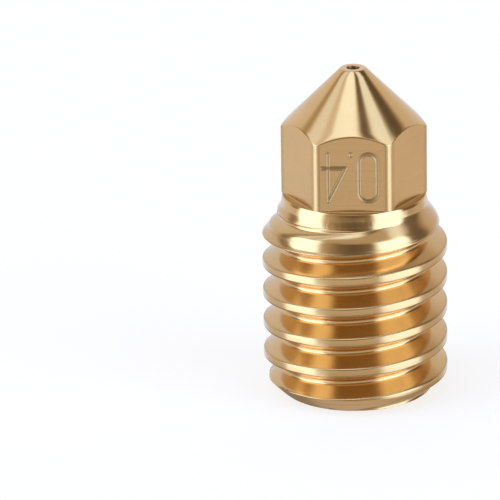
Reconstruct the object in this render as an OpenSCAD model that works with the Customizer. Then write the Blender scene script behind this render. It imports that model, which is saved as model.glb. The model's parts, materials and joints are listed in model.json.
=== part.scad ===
// Brass nozzle for a filament printer, turned from one bar.
// It stands on its inlet face, with the tip up. Millimetres. The origin is at the centre of the inlet face.

/* [Overall] */
// Height from the inlet face to the flat at the tip
total_len = 10.5; // [9.5:0.1:14]
// Height of the threaded shank with its neck, from the inlet face to the hexagon
shank_len = 6.45; // [5:0.05:7.5]

/* [Thread] */
// Diameter over the thread's crests
thread_d = 5.8; // [5:0.05:8]
// Rise of one turn of the right-hand thread
pitch = 1; // [0.7:0.05:1.25]
// Width of a crest, as a share of the pitch
crest_share = 0.24; // [0.12:0.01:0.3]
// Width of the flat at a root, as a share of the pitch
root_share = 0.125; // [0.08:0.005:0.2]
// Angle between the two flanks of the groove
flank_angle = 60; // [50:1:70]
// Height of the first crest's middle over the +X side
first_crest = 0.72; // [0.2:0.01:1]

/* [Shank ends] */
// Height and depth of the 45 degree chamfer at the inlet end
inlet_chamfer = 0.55; // [0.2:0.05:0.8]
// Distance from the hexagon down to where the last turns start to be turned down
runout_start = 1.33; // [0.45:0.01:3.45]
// How far the last turns' land lies under the full crests
runout_step = 0.18; // [0.05:0.01:0.4]
// Height of the turned-down land, measured along the axis
runout_len = 0.52; // [0.2:0.02:1]
// How much the land's radius falls towards the neck
runout_taper = 0.12; // [0.02:0.01:0.3]
// Least step from the thread's roots down to the neck
neck_step = 0.05; // [0.02:0.01:0.5]
// Height of the straight part of the neck
neck_len = 0.35; // [0.1:0.05:0.8]

/* [Hexagon] */
// Size of the hexagon across its flats
hex_af = 4; // [3.5:0.1:6]
// How much the turned corners take off the sharp hexagon, on the radius
corner_trim = 0.04; // [0.01:0.01:0.2]

/* [Tip] */
// Diameter of the flat around the orifice
tip_d = 0.78; // [0.6:0.02:1.6]
// Angle of the tip's cone, from side to side
tip_angle = 90; // [60:1:120]

/* [Filament passage] */
// Diameter of the filament bore
bore_d = 2; // [1.8:0.05:3.2]
// Height and depth of the 45 degree countersink at the inlet
countersink = 0.25; // [0.1:0.05:0.5]
// Angle of the bore's drilled end, from side to side
drill_angle = 118; // [60:1:130]
// Diameter of the orifice
orifice_d = 0.4; // [0.2:0.05:0.5]
// Length of the orifice, from the drilled end to the tip
orifice_len = 0.6; // [0.3:0.05:1]

/* [Size number] */
// Depth of the engraved strokes
mark_depth = 0.06; // [0.02:0.01:0.15]
// Space between the flat's lower edge and the number
mark_low_margin = 0.3; // [0.2:0.05:0.6]
// Space between the number and the flat's upper edge
mark_top_margin = 0.5; // [0.2:0.05:0.8]
// Least space between the number and the flat's side edges
mark_side_margin = 0.1; // [0:0.05:0.3]

/* [Hidden] */
$fn = 96;
thread_fn = 48; // rings of the groove in one turn
ring_offset = 0.25; // share of a ring by which the first one lies past +X, clear of the round parts' seams
overlap = 0.5; // how far a cut runs out past the bar

flank_slope = tan(flank_angle / 2);
thread_depth = pitch * (1 - crest_share - root_share) / 2 / flank_slope;
crest_r = thread_d / 2;
root_r = crest_r - thread_depth;
land_r = crest_r - runout_step;
runout_z = shank_len - runout_start;
runout_top = runout_z + runout_len;
neck_start = shank_len - neck_len;

bore_r = bore_d / 2;
orifice_r = orifice_d / 2;
orifice_start = total_len - orifice_len;
drill_start = orifice_start - (bore_r - orifice_r) / tan(drill_angle / 2);

tip_r = tip_d / 2;
tip_slope = tan(tip_angle / 2);
flat_r = hex_af / 2;
corner_r = flat_r / cos(30) - corner_trim;
// The neck is as wide as the turned corners, unless the thread leaves less.
neck_r = min(corner_r, root_r - neck_step);
function cone_z(r) = total_len - (r - tip_r) / tip_slope;

// The number reads with the tip down, so it is drawn upside down. Its shapes are shares of its height,
// and it is as high as the flat has room for, upwards and across.
bar_reach = 0.57;
room_up = cone_z(flat_r) - shank_len - mark_low_margin - mark_top_margin;
room_across = (sqrt(pow(corner_r, 2) - pow(flat_r, 2)) - mark_side_margin) / bar_reach;
mark_h = min(room_up, room_across);
mark_z = shank_len + mark_low_margin;
stroke = 0.065 * mark_h;
zero_w = 0.39 * mark_h;
zero_x = 0.3 * mark_h;
point_x = -0.03 * mark_h;
point_h = 0.1 * mark_h;
stem_x = -0.455 * mark_h;
bar_x0 = -bar_reach * mark_h;
bar_x1 = -0.13 * mark_h;
bar_z = 0.69 * mark_h;

// Cross-section of the cutter that leaves the thread, as [radius, height] about the groove's middle.
// It runs out past the crests by half of what would make neighbouring turns meet.
cut_r = crest_r + crest_share * pitch / 4 / flank_slope;
root_half = root_share * pitch / 2;
cut_half = root_half + (cut_r - root_r) * flank_slope;
groove = [[root_r, -root_half], [cut_r, -cut_half], [cut_r, cut_half], [root_r, root_half]];

module thread_groove() {
    // The first ring lies wholly under the inlet face, and the last one where the neck starts.
    start_z = first_crest - pitch / 2 - pitch;
    rings = ceil((neck_start - start_z) / pitch * thread_fn);
    sides = len(groove);
    points = [
        for (i = [0 : rings], p = groove)
            let (turn = (i + ring_offset) / thread_fn)
            [p[0] * cos(360 * turn), p[0] * sin(360 * turn), start_z + pitch * turn + p[1]]
    ];
    walls = [
        for (i = [0 : rings - 1], j = [0 : sides - 1])
            let (k = (j + 1) % sides, a = i * sides, b = a + sides)
            each [[a + j, a + k, b + j], [b + j, a + k, b + k]]
    ];
    last = rings * sides;
    ends = [[0, 2, 1], [0, 3, 2], [last, last + 1, last + 2], [last, last + 2, last + 3]];
    polyhedron(points, concat(walls, ends));
}

// The bar as it leaves the lathe, before the thread and the flats are cut into it.
module turned_bar() {
    shank = [
        [0, 0],
        [crest_r - inlet_chamfer, 0],
        [crest_r, inlet_chamfer],
        [crest_r, runout_z],
        [land_r, runout_z + runout_step],
        [land_r - runout_taper, runout_top],
        [neck_r, neck_start]
    ];
    shoulder = neck_r < corner_r ? [[neck_r, shank_len], [corner_r, shank_len]] : [];
    cone = [[corner_r, cone_z(corner_r)], [tip_r, total_len], [0, total_len]];
    rotate_extrude() polygon(concat(shank, shoulder, cone));
}

// The flats lie at -Y and +Y, and two corners at -X and +X.
module flat_cuts() {
    depth = corner_r - flat_r + overlap;
    for (turn = [0 : 60 : 300]) rotate(turn)
        translate([-corner_r, flat_r, shank_len]) cube([2 * corner_r, depth, total_len]);
}

module filament_passage() {
    rotate_extrude() polygon([
        [0, -overlap],
        [bore_r + countersink + overlap, -overlap],
        [bore_r, countersink],
        [bore_r, drill_start],
        [orifice_r, orifice_start],
        [orifice_r, total_len + overlap],
        [0, total_len + overlap]
    ]);
}

module bar(from, to) {
    along = to - from;
    translate(from) rotate(atan2(along[1], along[0]))
        translate([0, -stroke / 2]) square([norm(along), stroke]);
}

module slot_outline(w, h) {
    for (y = [w / 2, h - w / 2]) translate([0, y]) circle(d = w);
    translate([-w / 2, w / 2]) square([w, h - w]);
}

module size_number() {
    translate([zero_x, 0]) difference() {
        slot_outline(zero_w, mark_h);
        translate([0, stroke]) slot_outline(zero_w - 2 * stroke, mark_h - 2 * stroke);
    }
    translate([point_x - stroke / 2, mark_h - point_h]) square([stroke, point_h]);
    bar([stem_x, 0], [stem_x, mark_h]);
    bar([bar_x0, bar_z], [bar_x1, bar_z]);
    bar([stem_x, stroke / 2], [bar_x1, bar_z]);
}

module nozzle() {
    color("goldenrod") difference() {
        turned_bar();
        thread_groove();
        flat_cuts();
        filament_passage();
        translate([0, mark_depth - flat_r, mark_z]) rotate([90, 0, 0])
            linear_extrude(mark_depth + overlap) size_number();
    }
}

nozzle();
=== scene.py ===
"""A turned brass printer nozzle, standing on its inlet face. Lengths are millimetres up to the mesh."""
import json
import math

import bpy
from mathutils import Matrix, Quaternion, Vector


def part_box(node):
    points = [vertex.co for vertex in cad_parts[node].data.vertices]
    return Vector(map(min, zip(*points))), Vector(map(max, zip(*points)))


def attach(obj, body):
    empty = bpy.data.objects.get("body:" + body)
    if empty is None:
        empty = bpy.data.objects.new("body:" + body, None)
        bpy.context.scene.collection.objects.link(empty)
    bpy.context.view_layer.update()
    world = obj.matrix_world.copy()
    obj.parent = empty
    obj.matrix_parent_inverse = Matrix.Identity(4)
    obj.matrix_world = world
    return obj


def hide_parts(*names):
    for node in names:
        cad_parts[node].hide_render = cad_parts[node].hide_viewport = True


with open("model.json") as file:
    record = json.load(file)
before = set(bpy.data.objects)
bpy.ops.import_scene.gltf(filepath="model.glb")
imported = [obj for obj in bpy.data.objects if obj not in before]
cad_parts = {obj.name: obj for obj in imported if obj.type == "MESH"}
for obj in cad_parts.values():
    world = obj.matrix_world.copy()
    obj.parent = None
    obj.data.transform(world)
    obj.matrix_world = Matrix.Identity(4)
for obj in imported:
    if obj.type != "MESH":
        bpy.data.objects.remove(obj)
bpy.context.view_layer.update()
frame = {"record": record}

MM = 0.001
TURN = 2 * math.pi

# Sizes that the frame holds.
low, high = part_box("nozzle")
mounts = {m["name"]: m for m in frame["record"]["mounts"]}
TOTAL_LEN = (high[2] - low[2]) / MM
CREST_R = (high[0] - low[0]) / 2 / MM
BORE_R = mounts["filament_bore"]["dims"]["r_mm"]
ORIFICE_R = mounts["orifice"]["dims"]["r_mm"]
FLAT_R = mounts["wrench_flat_back"]["pos_m"][1] / MM
ORIFICE_START = TOTAL_LEN - mounts["orifice"]["dims"]["length_mm"]

# Sizes that it doesn't hold, as in the CAD model.
SHANK_LEN = 6.45
PITCH = 1.0
CREST_WIDTH = 0.24
ROOT_WIDTH = 0.125
FLANK_SLOPE = math.tan(math.radians(30))
FIRST_CREST = 0.72
ROOT_R = CREST_R - (PITCH - CREST_WIDTH - ROOT_WIDTH) / 2 / FLANK_SLOPE
NECK_START = 6.1
CORNER_TRIM = 0.04
CORNER_R = FLAT_R / math.cos(math.radians(30)) - CORNER_TRIM
NECK_R = CORNER_R
TIP_R = 0.39
COUNTERSINK = 0.25
DRILL_HALF_ANGLE = math.radians(59)
DRILL_START = ORIFICE_START - (BORE_R - ORIFICE_R) / math.tan(DRILL_HALF_ANGLE)
FACE_EDGE = 2.35
# Outline of the turned bar that the thread is cut into, as (height, radius).
BLANK = [
    (0, FACE_EDGE), (0.55, CREST_R), (5.12, CREST_R), (5.3, 2.72), (5.64, 2.6), (NECK_START, NECK_R),
]

# How each surface is finished, as (tone of the brass, roughness). Where noted, a darker tone is painted
# shade.
TURNED = (0.89, 0.17)
# The crests' edges: rougher, with a darker tone that is a painted shade line.
THREAD_LINE_PAINTED_SHADE = (0.82, 0.26)
NECK = (0.94, 0.14)
MILLED = (1.0, 0.24)
CORNER = (0.9, 0.4)
# The number's strokes: rougher, with a darker tone that is painted shade in the grooves.
STROKE_PAINTED_SHADE = (0.62, 0.45)
# The ledges under the flats: rougher, with a darker tone that is painted shade.
LEDGE_PAINTED_SHADE = (0.68, 0.3)
CONE = (1.0, 0.14)
# The passage: rougher, with a darker tone that is painted shade inside the bore.
INSIDE_PAINTED_SHADE = (0.45, 0.45)

# How far edges are rounded: in general, at the thread, and at the hexagon's turned corners.
EDGE = 0.03
THREAD_EDGE = 0.055
CORNER_EDGE = 0.03
# Heights between which the mesh lines climb with the thread.
THREAD_LOW = 0.02
THREAD_HIGH = NECK_START + 0.15
# Half the width of the rougher line along a crest's edge, whose darker tone is painted shade, and the
# height where it stops.
LINE_HALF = 0.03
LINE_TOP = NECK_START - 0.6
# The neck narrows this much towards the hexagon, half above and half below its nominal radius.
NECK_TAPER = 0.05
# The bar's corners are rounded over REACH. FOOT_REACH is added between two heights, for the neck's foot.
REACH = 0.02
FOOT_REACH = 0.09
FOOT_LOW, FOOT_HIGH = 5.4, 5.8

# The engraved number, upside down with the tip up. MARK_HALF is half a stroke's width. A stroke's wall
# and its rougher finish, whose darker tone is painted shade in the groove, each fade out between two
# distances from the stroke's middle.
MARK_LOW = SHANK_LEN + 0.3
MARK_H = 1.64
MARK_TOP = MARK_LOW + MARK_H
MARK_DEPTH = 0.03
MARK_HALF = 0.055
WALL_FADE = (0.1 * MARK_HALF, 1.2 * MARK_HALF)
ROUGH_AND_SHADE_FADE = (0.8 * MARK_HALF, 1.5 * MARK_HALF)
# The mesh has squares of MARK_FINE over the number and MARK_BORDER around it.
MARK_FINE = 0.016
MARK_BORDER = 0.04

# The brass: its colour, its noises per metre along x, y and z, and the height of the lathe's rings.
BRASS_COLOR = (0.9, 0.575, 0.25)
RINGS = (300, 300, 26000)
CLOUDS = (900, 900, 900)
GRAIN = (30000, 30000, 30000)
RING_HEIGHT = 0.001 * MM

# The room's brightness is given in layers. Each pair is where one layer fades into the next, as the
# height of a direction: -1 is straight down, 0 is level and 1 is straight up.
UNDERSIDE_FADE = (-0.88, -0.74)
NEAR_FLOOR_FADE = (-0.41, -0.355)
HORIZON_FADE = (-0.2, -0.05)
HIGH_FADE = (0.5, 0.66)
OVERHEAD_FADE = (0.82, 0.9)
# The even brightness straight below, and in front above the soft boxes.
UNDERSIDE = 0.55
FRONT = 0.5
# Dim parts of the room are warm, and the lamps are cool. The tint changes between two brightnesses.
WARM = (1.14, 1, 0.85)
WARM_TO_COOL = (-0.35, 0, 0.55)
LAMP_FADE = (0.25, 1.2)
# A ramp holds colours from 0 to 1, so a brightness is stored there as a share of this.
BRIGHTEST = 4.0


def soft_min(a, b, blend):
    """The smaller value, with a round corner where the two cross."""
    h = max(blend - abs(a - b), 0) / blend
    return min(a, b) - h * h * blend / 4


def soft_max(a, b, blend):
    return -soft_min(-a, -b, blend)


def smooth_step(low_edge, high_edge, x):
    t = min(max((x - low_edge) / (high_edge - low_edge), 0), 1)
    return t * t * (3 - 2 * t)


def spread(start, end, steps):
    """Evenly spaced values from start up to, but without, end."""
    return [start + (end - start) * i / steps for i in range(steps)]


def neck_r(z):
    return NECK_R + NECK_TAPER * (0.5 - (z - NECK_START) / (SHANK_LEN - NECK_START))


def outline_r(z):
    """The bar's radius with sharp corners."""
    for (z0, r0), (z1, r1) in zip(BLANK, BLANK[1:]):
        if z <= z1:
            return r0 + (r1 - r0) * (z - z0) / (z1 - z0)
    return neck_r(z)


def blank_r(z):
    """The bar's radius. Its corners are rounded, most of all at the neck's foot."""
    reach = REACH + FOOT_REACH * smooth_step(FOOT_LOW, FOOT_HIGH, z)
    steps = [-0.875, -0.625, -0.375, -0.125, 0.125, 0.375, 0.625, 0.875]
    return sum(outline_r(z + reach * t) for t in steps) / len(steps)


def thread_r(u):
    """Radius of the endless thread at u, the height from the nearest crest's middle."""
    flank = CREST_R - (abs(u) - CREST_WIDTH / 2) / FLANK_SLOPE
    return soft_max(soft_min(flank, CREST_R, THREAD_EDGE), ROOT_R, THREAD_EDGE)


def hexagon_r(angle):
    """Radius of the hexagon with its turned corners. Corners lie at 0, 60, 120 degrees and so on."""
    off = (angle + TURN / 12) % (TURN / 6) - TURN / 12
    sharp = FLAT_R / math.cos(TURN / 12 - abs(off))
    return soft_min(sharp, CORNER_R, CORNER_EDGE)


def cone_z(r):
    return TOTAL_LEN - (r - TIP_R)


def segment_distance(p, a, b):
    """Distance from p to the straight line between a and b."""
    along = (b[0] - a[0], b[1] - a[1])
    length2 = along[0] ** 2 + along[1] ** 2
    t = ((p[0] - a[0]) * along[0] + (p[1] - a[1]) * along[1]) / length2 if length2 else 0
    t = min(max(t, 0), 1)
    return math.hypot(p[0] - a[0] - t * along[0], p[1] - a[1] - t * along[1])


def number_distance(x, z):
    """Distance from a point on the flat to the nearest stroke of the engraved number 0.4."""
    p = (x, z - MARK_LOW)
    foot, top = MARK_HALF, MARK_H - MARK_HALF
    zero_x, zero_r = 0.49, 0.28
    point_x, point_h = -0.05, 0.04
    stem_x, bar_start, bar_end, bar_z = -0.75, -0.94, -0.21, 1.13
    zero = segment_distance(p, (zero_x, zero_r + MARK_HALF), (zero_x, MARK_H - zero_r - MARK_HALF))
    point_and_four = [
        ((point_x, top - point_h), (point_x, top)),
        ((stem_x, foot), (stem_x, top)),
        ((bar_start, bar_z), (bar_end, bar_z)),
        ((stem_x, foot), (bar_end, bar_z)),
    ]
    return min([abs(zero - zero_r)] + [segment_distance(p, a, b) for a, b in point_and_four])


def number_depth(x, z):
    return MARK_DEPTH * (1 - smooth_step(*WALL_FADE, number_distance(x, z)))


def engraved(y):
    """Whether a point of the hexagon lies on the flat that has the number, at -FLAT_R."""
    nearly = 0.98
    return y <= -FLAT_R * nearly


def flat_finish(angle, z):
    """Finish of the hexagon: milled, but for turned corners and the number's strokes, darker as painted
    shade.
    """
    r = hexagon_r(angle)
    x, y = r * math.cos(angle), r * math.sin(angle)
    if r > CORNER_R - CORNER_EDGE:
        return CORNER
    share = 1
    if engraved(y):
        share = smooth_step(*ROUGH_AND_SHADE_FADE, number_distance(x, z))
    return tuple(b + (a - b) * share for a, b in zip(MILLED, STROKE_PAINTED_SHADE))


def flat_r(angle, z):
    """Radius of the hexagon, with the number engraved."""
    r = hexagon_r(angle)
    x, y = r * math.cos(angle), r * math.sin(angle)
    if not engraved(y):
        return r
    depth = number_depth(x, z)
    return math.hypot(x, y + depth) if depth else r


def column_angles():
    """Angles of the mesh's columns, fine over the engraved flat at -Y and coarse over the others."""
    half_flat = math.sqrt(CORNER_R ** 2 - FLAT_R ** 2)
    corner_half = TURN / 12 - math.atan2(half_flat, FLAT_R)
    # Shares of half a flat's width: even steps up to the first, then closer ones round the flat's edge.
    even, near_corner = 0.94, [0.955, 0.975, 1.0, 1.03]
    engraved_side, coarse_steps = 4, 12
    angles = []
    for side in range(6):
        middle = TURN * (2 * side + 1) / 12
        steps = round(2 * half_flat * even / MARK_FINE) if side == engraved_side else coarse_steps
        across = spread(-even, even, steps) + [even]
        across = [-t for t in reversed(near_corner)] + across + near_corner
        angles += [middle - TURN / 12 - corner_half / 3, middle - TURN / 12 + corner_half / 3]
        angles += [middle + math.atan2(t * half_flat, FLAT_R) for t in across]
    return angles


class Shell:
    """Collects the nozzle's mesh as closed rings, one vertex for each column."""

    def __init__(self, angles):
        self.angles = angles
        self.points = []
        self.faces = []
        self.finishes = []
        self.finish = TURNED
        self.last = None

    def add_point(self, r, angle, z):
        self.points.append((r * math.cos(angle) * MM, r * math.sin(angle) * MM, z * MM))
        self.finishes.append(self.finish(angle, z) if callable(self.finish) else self.finish)
        return len(self.points) - 1

    def join(self, lower, upper):
        count = len(self.angles)
        for i in range(count):
            k = (i + 1) % count
            self.faces.append((lower[i], lower[k], upper[k], upper[i]))

    def ring(self, r, z):
        """Adds a ring and joins it to the last one. r and z are numbers, or functions of the angle."""
        at = [(r(a) if callable(r) else r, z(a) if callable(z) else z) for a in self.angles]
        made = [self.add_point(rr, a, zz) for (rr, zz), a in zip(at, self.angles)]
        if self.last:
            self.join(self.last, made)
        self.last = made
        return made


def thread_offsets():
    """Heights of the thread's mesh lines within one pitch, close together at its edges."""
    edge = CREST_WIDTH / 2
    foot = PITCH / 2 - ROOT_WIDTH / 2
    across = [-0.042, -0.026, -0.012, 0, 0.012, 0.026, 0.042]
    flank = [edge + 0.1, edge + 0.18]
    up = [0] + [edge + a for a in across] + flank + [foot + a for a in across]
    return up + [PITCH / 2] + [PITCH - u for u in reversed(up[1:])]


def add_thread_point(shell, u, angle, z):
    """A point of the thread, u above a crest's middle. The crests' edges are rougher, and darker as
    painted shade.
    """
    from_crest = u if u <= PITCH / 2 else u - PITCH
    r = soft_min(thread_r(from_crest), blank_r(z), EDGE)
    # Along the crests' edges a darker tone paints a line of shade.
    on_painted_shade_line = abs(abs(from_crest) - CREST_WIDTH / 2) < LINE_HALF and z < LINE_TOP
    shell.finish = THREAD_LINE_PAINTED_SHADE if on_painted_shade_line else TURNED
    return shell.add_point(r, angle, z)


def add_strip(shell, left, right, steps):
    """Faces between two columns. At the thread's ends some corners coincide, and are left out."""
    for m in range(steps):
        corners = [left[m], right[m], right[m + 1], left[m + 1]]
        face = [c for k, c in enumerate(corners) if c != corners[k - 1]]
        if len(face) > 2:
            shell.faces.append(tuple(face))


def add_thread(shell, bottom):
    """The thread's surface: mesh lines that climb with the helix, cut off at the bar's own outline."""
    offsets = thread_offsets()
    lines = len(offsets)
    turns_below = 2
    turns = math.ceil(SHANK_LEN / PITCH) + turns_below
    shell.finish = TURNED
    top = [shell.add_point(neck_r(THREAD_HIGH), a, THREAD_HIGH) for a in shell.angles]
    columns = []
    for i, angle in enumerate(shell.angles):
        column = []
        for m in range((turns + 1) * lines):
            turn, j = divmod(m, lines)
            u = offsets[j]
            z = FIRST_CREST + PITCH * (turn - turns_below + angle / TURN) + u
            if z <= THREAD_LOW:
                column.append(bottom[i])
            elif z >= THREAD_HIGH:
                column.append(top[i])
            else:
                column.append(add_thread_point(shell, u, angle, z))
        columns.append(column)
    # Past the last column the helix has climbed one turn, so the seam joins lines one pitch apart.
    columns.append(columns[0][lines:] + [top[0]] * lines)
    for left, right in zip(columns, columns[1:]):
        add_strip(shell, left, right, turns * lines)
    shell.last = top


def add_ledges(shell):
    """The neck's top. The flats are milled into the bar, and each leaves a ledge on the neck."""
    top_r = neck_r(SHANK_LEN)

    def ledge(angle):
        return max(top_r - hexagon_r(angle), 0)

    shell.finish = NECK
    for z in (SHANK_LEN - 0.1, SHANK_LEN - 0.006):
        shell.ring(neck_r(z), z)
    # The ledge's outer corner is broken a little, and the last ring is where it meets the flat.
    # The ledges' darker tone is painted shade under the flats.
    shell.finish = LEDGE_PAINTED_SHADE
    shell.ring(lambda a: top_r - min(0.004, ledge(a) * 0.2), SHANK_LEN - 0.002)
    shell.ring(lambda a: top_r - min(0.02, ledge(a) * 0.4), SHANK_LEN)
    shell.ring(lambda a: hexagon_r(a) + min(0.01, ledge(a) * 0.2), SHANK_LEN + 0.002)


def add_hexagon(shell):
    """The flats, with close mesh lines over the number, up to the broken edge under the cone."""
    start, end = MARK_LOW - MARK_BORDER, MARK_TOP + MARK_BORDER
    heights = [SHANK_LEN + 0.012, SHANK_LEN + 0.05, SHANK_LEN + 0.15]
    heights += spread(start, end, round((MARK_H + 2 * MARK_BORDER) / MARK_FINE))
    shell.finish = flat_finish
    for z in heights:
        shell.ring(lambda a: flat_r(a, z), z)
    # Above the number the mesh lines bend, until they follow the cone's arcs.
    for share in (0.0, 0.3, 0.6, 0.85):
        shell.ring(hexagon_r, lambda a: end + (cone_z(hexagon_r(a)) - EDGE - end) * share)
    shell.ring(hexagon_r, lambda a: cone_z(hexagon_r(a)) - EDGE)
    shell.ring(lambda a: hexagon_r(a) - EDGE * 0.12, lambda a: cone_z(hexagon_r(a)) - EDGE * 0.3)


def cone_r(angle, share):
    """Radius on the cone, from the broken edge at share 0 to just before the tip's flat at share 1."""
    return (hexagon_r(angle) - EDGE) * (1 - share) + (TIP_R + 0.03) * share


def add_cone(shell):
    """The tip's cone, from the broken edge up to the small flat around the orifice."""
    shell.finish = CONE
    shell.ring(lambda a: hexagon_r(a) - EDGE * 0.4, lambda a: cone_z(hexagon_r(a)) + EDGE * 0.2)
    shell.ring(lambda a: hexagon_r(a) - EDGE, lambda a: cone_z(hexagon_r(a)) + EDGE * 0.9)
    for share in (0.08, 0.2, 0.35, 0.5, 0.65, 0.8, 0.92, 1):
        sink = EDGE * 0.1 * (1 - share)
        shell.ring(lambda a: cone_r(a, share), lambda a: cone_z(cone_r(a, share)) - sink)
    shell.ring(TIP_R + 0.008, TOTAL_LEN - 0.014)
    shell.ring(TIP_R - 0.008, TOTAL_LEN - 0.003)
    shell.ring(TIP_R - 0.03, TOTAL_LEN)


def add_passage(shell):
    """Rings of (radius, height) from the tip's flat down through the orifice and the bore."""
    rim = [(ORIFICE_R + 0.03, TOTAL_LEN), (ORIFICE_R + 0.008, TOTAL_LEN - 0.004)]
    inside = [(ORIFICE_R, z) for z in (TOTAL_LEN - 0.02, TOTAL_LEN - 0.2)]
    inside += [(ORIFICE_R, z) for z in (ORIFICE_START + 0.02, ORIFICE_START)]
    inside += [((ORIFICE_R + BORE_R) / 2, (ORIFICE_START + DRILL_START) / 2)]
    inside += [(BORE_R, z) for z in (DRILL_START, DRILL_START - 0.05, 6, 3, 1)]
    inside += [(BORE_R, COUNTERSINK + 0.05), (BORE_R, COUNTERSINK + 0.01)]
    mouth = [(BORE_R + 0.01, COUNTERSINK - 0.015), (BORE_R + COUNTERSINK - 0.015, 0.03)]
    mouth += [(BORE_R + COUNTERSINK + 0.01, 0.004), (BORE_R + COUNTERSINK + 0.03, 0)]
    # Inside the passage the darker tone is painted shade.
    for finish, profile in ((CONE, rim), (INSIDE_PAINTED_SHADE, inside), (TURNED, mouth)):
        shell.finish = finish
        for r, z in profile:
            shell.ring(r, z)


def build_nozzle():
    """One closed surface: the inlet face, the thread, the head, and back down through the passage."""
    shell = Shell(column_angles())
    start = shell.ring(FACE_EDGE - 0.1, 0)
    shell.ring(FACE_EDGE - 0.025, 0)
    shell.ring(FACE_EDGE - 0.008, 0.005)
    bottom = shell.ring(FACE_EDGE + 0.005, THREAD_LOW)
    add_thread(shell, bottom)
    add_ledges(shell)
    add_hexagon(shell)
    add_cone(shell)
    add_passage(shell)
    shell.join(shell.last, start)
    return as_object(shell)


def as_object(shell):
    """Makes the mesh, which keeps each point's finish, painted shade included, for the material."""
    mesh = bpy.data.meshes.new("nozzle_body")
    mesh.from_pydata(shell.points, [], shell.faces)
    mesh.validate()
    for polygon in mesh.polygons:
        polygon.use_smooth = True
    for k, name in enumerate(("tone", "roughness")):
        attribute = mesh.attributes.new(name, "FLOAT", "POINT")
        attribute.data.foreach_set("value", [finish[k] for finish in shell.finishes])
    body = bpy.data.objects.new("nozzle_body", mesh)
    bpy.context.collection.objects.link(body)
    weights = body.modifiers.new("even_shading", "WEIGHTED_NORMAL")
    weights.mode = "FACE_AREA"
    weights.weight = 100
    return body


class Tree:
    """Adds nodes to a node tree. An input is a plain value, or the output of a node that feeds it."""

    def __init__(self, tree):
        self.nodes, self.links = tree.nodes, tree.links

    def put(self, socket, value):
        if isinstance(value, bpy.types.NodeSocket):
            self.links.new(value, socket)
        else:
            socket.default_value = value

    def add(self, kind, inputs, **settings):
        """A new node of a kind. inputs holds its inputs by name or number."""
        node = self.nodes.new("ShaderNode" + kind)
        for name, value in settings.items():
            setattr(node, name, value)
        for key, value in inputs.items():
            self.put(node.inputs[key], value)
        return node

    def math(self, operation, a, b):
        return self.add("Math", {0: a, 1: b}, operation=operation).outputs[0]

    def mix(self, share, a, b):
        return self.add("Mix", {"Factor": share, "A": a, "B": b}).outputs["Result"]

    def fade(self, value, start, end):
        """0 up to start, 1 from end on, and a smooth step between them."""
        inputs = {"Value": value, "From Min": start, "From Max": end}
        return self.add("MapRange", inputs, interpolation_type="SMOOTHSTEP").outputs["Result"]

    def vary(self, value, by, amount):
        """The value, raised and lowered by a noise, as a share of itself."""
        inputs = {"Value": by, "To Min": 1 - amount, "To Max": 1 + amount}
        return self.math("MULTIPLY", value, self.add("MapRange", inputs).outputs["Result"])

    def noise(self, place, per_metre, detail):
        scaled = self.add("Mapping", {"Vector": place, "Scale": per_metre}).outputs["Vector"]
        return self.add("TexNoise", {"Vector": scaled, "Scale": 1, "Detail": detail}).outputs["Fac"]

    def levels(self, share, stops):
        """Brightness round the room at a share of the way round. A stop is (degrees, brightness).

        0 degrees is the camera's side, in the middle of the way round, and 90 is to its right.
        """
        ramp = self.add("ValToRGB", {"Fac": share})
        elements = ramp.color_ramp.elements
        while len(elements) > 1:
            elements.remove(elements[-1])
        for k, (degrees, level) in enumerate(stops):
            at = (degrees + 180) / 360
            element = elements[0] if k == 0 else elements.new(at)
            element.position = at
            element.color = (level / BRIGHTEST,) * 3 + (1,)
        return self.math("MULTIPLY", ramp.outputs["Color"], BRIGHTEST)


def brass():
    """Bright brass with fine rings left by the lathe, faint clouds of tarnish, and a fine grain."""
    material = bpy.data.materials.new("turned_brass")
    material.use_nodes = True
    tree = Tree(material.node_tree)
    shader = tree.nodes["Principled BSDF"]
    tree.put(shader.inputs["Metallic"], 1)
    place = tree.add("TexCoord", {}).outputs["Object"]
    rings = tree.noise(place, RINGS, 3)
    clouds = tree.noise(place, CLOUDS, 4)
    grain = tree.noise(place, GRAIN, 2)
    roughness = tree.add("Attribute", {}, attribute_name="roughness").outputs["Fac"]
    roughness = tree.vary(tree.vary(roughness, rings, 0.25), clouds, 0.2)
    tree.put(shader.inputs["Roughness"], roughness)
    # The tone attribute holds each surface's tone, with painted shade on crest edges, strokes, ledges
    # and passage.
    tone = tree.add("Attribute", {}, attribute_name="tone").outputs["Fac"]
    tone = tree.vary(tree.vary(tone, clouds, 0.1), grain, 0.06)
    toned = tree.add("VectorMath", {0: BRASS_COLOR, "Scale": tone}, operation="SCALE")
    tree.put(shader.inputs["Base Color"], toned.outputs["Vector"])
    relief = tree.add("Bump", {"Strength": 0.25, "Distance": RING_HEIGHT, "Height": rings})
    tree.put(shader.inputs["Normal"], relief.outputs["Normal"])
    return material


def high_light(tree, share, z):
    """The strips overhead. In front they start higher, over a part of one even brightness."""
    overhead = tree.levels(share, [
        (-180, 0.7), (-124, 0.7), (-119, 0.35), (-109, 0.35), (-103, 1.0), (-86, 1.0), (-80, 0.7),
        (-68, 0.7), (-62, 1.4), (12, 1.4), (30, 0.11), (54, 0.11), (64, 1.2), (92, 1.2),
        (97, 0.1), (123, 0.1), (131, 0.4), (180, 0.66),
    ])
    in_front = tree.levels(share, [(-180, 0), (-62, 0), (-52, 1), (52, 1), (62, 0), (180, 0)])
    return tree.mix(tree.fade(z, *OVERHEAD_FADE), tree.mix(in_front, overhead, FRONT), overhead)


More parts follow.
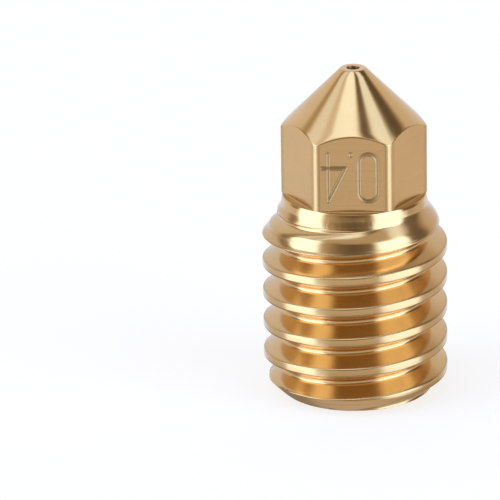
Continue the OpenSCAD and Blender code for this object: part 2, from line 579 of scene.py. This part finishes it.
def low_light(tree, share, z):
    """The soft boxes beside the camera, which is on the room's dark side."""
    horizon = tree.levels(share, [
        (-180, 0.8), (-122, 0.7), (-110, 0.25), (-96, 0.3), (-90, 2.4), (-54, 2.4), (-44, 0.5),
        (-20, 0.2), (0, 0.13), (26, 0.2), (38, 2.4), (76, 2.4), (84, 0.15), (110, 0.15),
        (126, 0.6), (180, 0.8),
    ])
    around = tree.levels(share, [
        (-180, 0.92), (-150, 0.9), (-130, 0.73), (-100, 0.72), (-92, 2.2), (-54, 2.2), (-46, 0.7),
        (0, 0.68), (30, 0.7), (38, 1.9), (86, 1.9), (94, 0.6), (130, 0.62), (150, 0.9), (180, 0.92),
    ])
    # Mostly the grooves' flanks, which mirror each other, see this part of the room.
    between = tree.levels(share, [
        (-180, 0.25), (-90, 0.3), (-74, 0.5), (-65, 1.7), (-42, 1.7), (-32, 0.25), (36, 0.25),
        (46, 1.5), (66, 1.5), (84, 0.9), (100, 0.4), (180, 0.3),
    ])
    lowest = tree.mix(tree.fade(z, *UNDERSIDE_FADE), UNDERSIDE, between)
    near_floor = tree.mix(tree.fade(z, *NEAR_FLOOR_FADE), lowest, around)
    return tree.mix(tree.fade(z, *HORIZON_FADE), near_floor, horizon)


def studio_light():
    """A room with two tall soft boxes, a dark camera side and strips overhead."""
    world = bpy.data.worlds.new("studio")
    bpy.context.scene.world = world
    world.use_nodes = True
    tree = Tree(world.node_tree)
    direction = tree.add("TexCoord", {}).outputs["Generated"]
    x, y, z = tree.add("SeparateXYZ", {0: direction}).outputs
    azimuth = tree.math("ARCTAN2", x, tree.math("MULTIPLY", y, -1))
    share = tree.math("ADD", tree.math("DIVIDE", azimuth, TURN), 0.5)
    low_part, high_part = low_light(tree, share, z), high_light(tree, share, z)
    level = tree.mix(tree.fade(z, *HIGH_FADE), low_part, high_part)
    tint_inputs = {0: tree.fade(level, *LAMP_FADE), 1: WARM_TO_COOL, 2: WARM}
    tint = tree.add("VectorMath", tint_inputs, operation="MULTIPLY_ADD")
    background = tree.nodes["Background"]
    tree.put(background.inputs["Color"], tint.outputs["Vector"])
    tree.put(background.inputs["Strength"], level)

    # Only the camera's own rays see plain white.
    plain = tree.add("Background", {"Color": (1, 1, 1, 1)}).outputs[0]
    camera_ray = tree.add("LightPath", {}).outputs["Is Camera Ray"]
    choose = tree.add("MixShader", {0: camera_ray, 1: background.outputs[0], 2: plain})
    tree.put(tree.nodes["World Output"].inputs["Surface"], choose.outputs[0])


def floor():
    """A plain pale floor, which the brass doesn't mirror."""
    half = 250 * MM
    corners = [(-half, -half, 0), (half, -half, 0), (half, half, 0), (-half, half, 0)]
    mesh = bpy.data.meshes.new("floor")
    mesh.from_pydata(corners, [], [(0, 1, 2, 3)])
    plane = bpy.data.objects.new("floor", mesh)
    bpy.context.collection.objects.link(plane)
    plane.visible_glossy = False
    material = bpy.data.materials.new("pale_floor")
    material.use_nodes = True
    shader = material.node_tree.nodes["Principled BSDF"]
    shader.inputs["Base Color"].default_value = (0.42, 0.4, 0.37, 1)
    shader.inputs["Roughness"].default_value = 0.9
    shader.inputs["Specular IOR Level"].default_value = 0
    shader.inputs["Emission Color"].default_value = (1, 1, 1, 1)
    shader.inputs["Emission Strength"].default_value = 0.7
    plane.data.materials.append(material)


def camera():
    """A long lens, 20 degrees above level and 3 degrees to the right, aimed left of the nozzle."""
    # The picture is frame_width across at the aim.
    lens, sensor, frame_width = 350, 36, 15.68
    around, above, roll = (math.radians(a) for a in (2.7, 19.85, -0.98))
    distance = lens * frame_width / sensor
    aim = Vector((-3.285, 0, 4.5)) * MM
    out = math.cos(above)
    back = Vector((math.sin(around) * out, -math.cos(around) * out, math.sin(above)))
    data = bpy.data.cameras.new("camera")
    data.lens = lens
    data.sensor_width = sensor
    data.clip_start = 10 * MM
    data.clip_end = 2000 * MM
    made = bpy.data.objects.new("camera", data)
    made.location = aim + back * distance * MM
    made.rotation_mode = "QUATERNION"
    made.rotation_quaternion = (-back).to_track_quat("-Z", "Y") @ Quaternion((0, 0, 1), roll)
    bpy.context.collection.objects.link(made)
    bpy.context.scene.camera = made


bpy.context.scene.view_settings.view_transform = "Standard"
camera()
studio_light()
floor()
nozzle = build_nozzle()
nozzle.data.materials.append(brass())
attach(nozzle, "root")
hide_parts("nozzle")
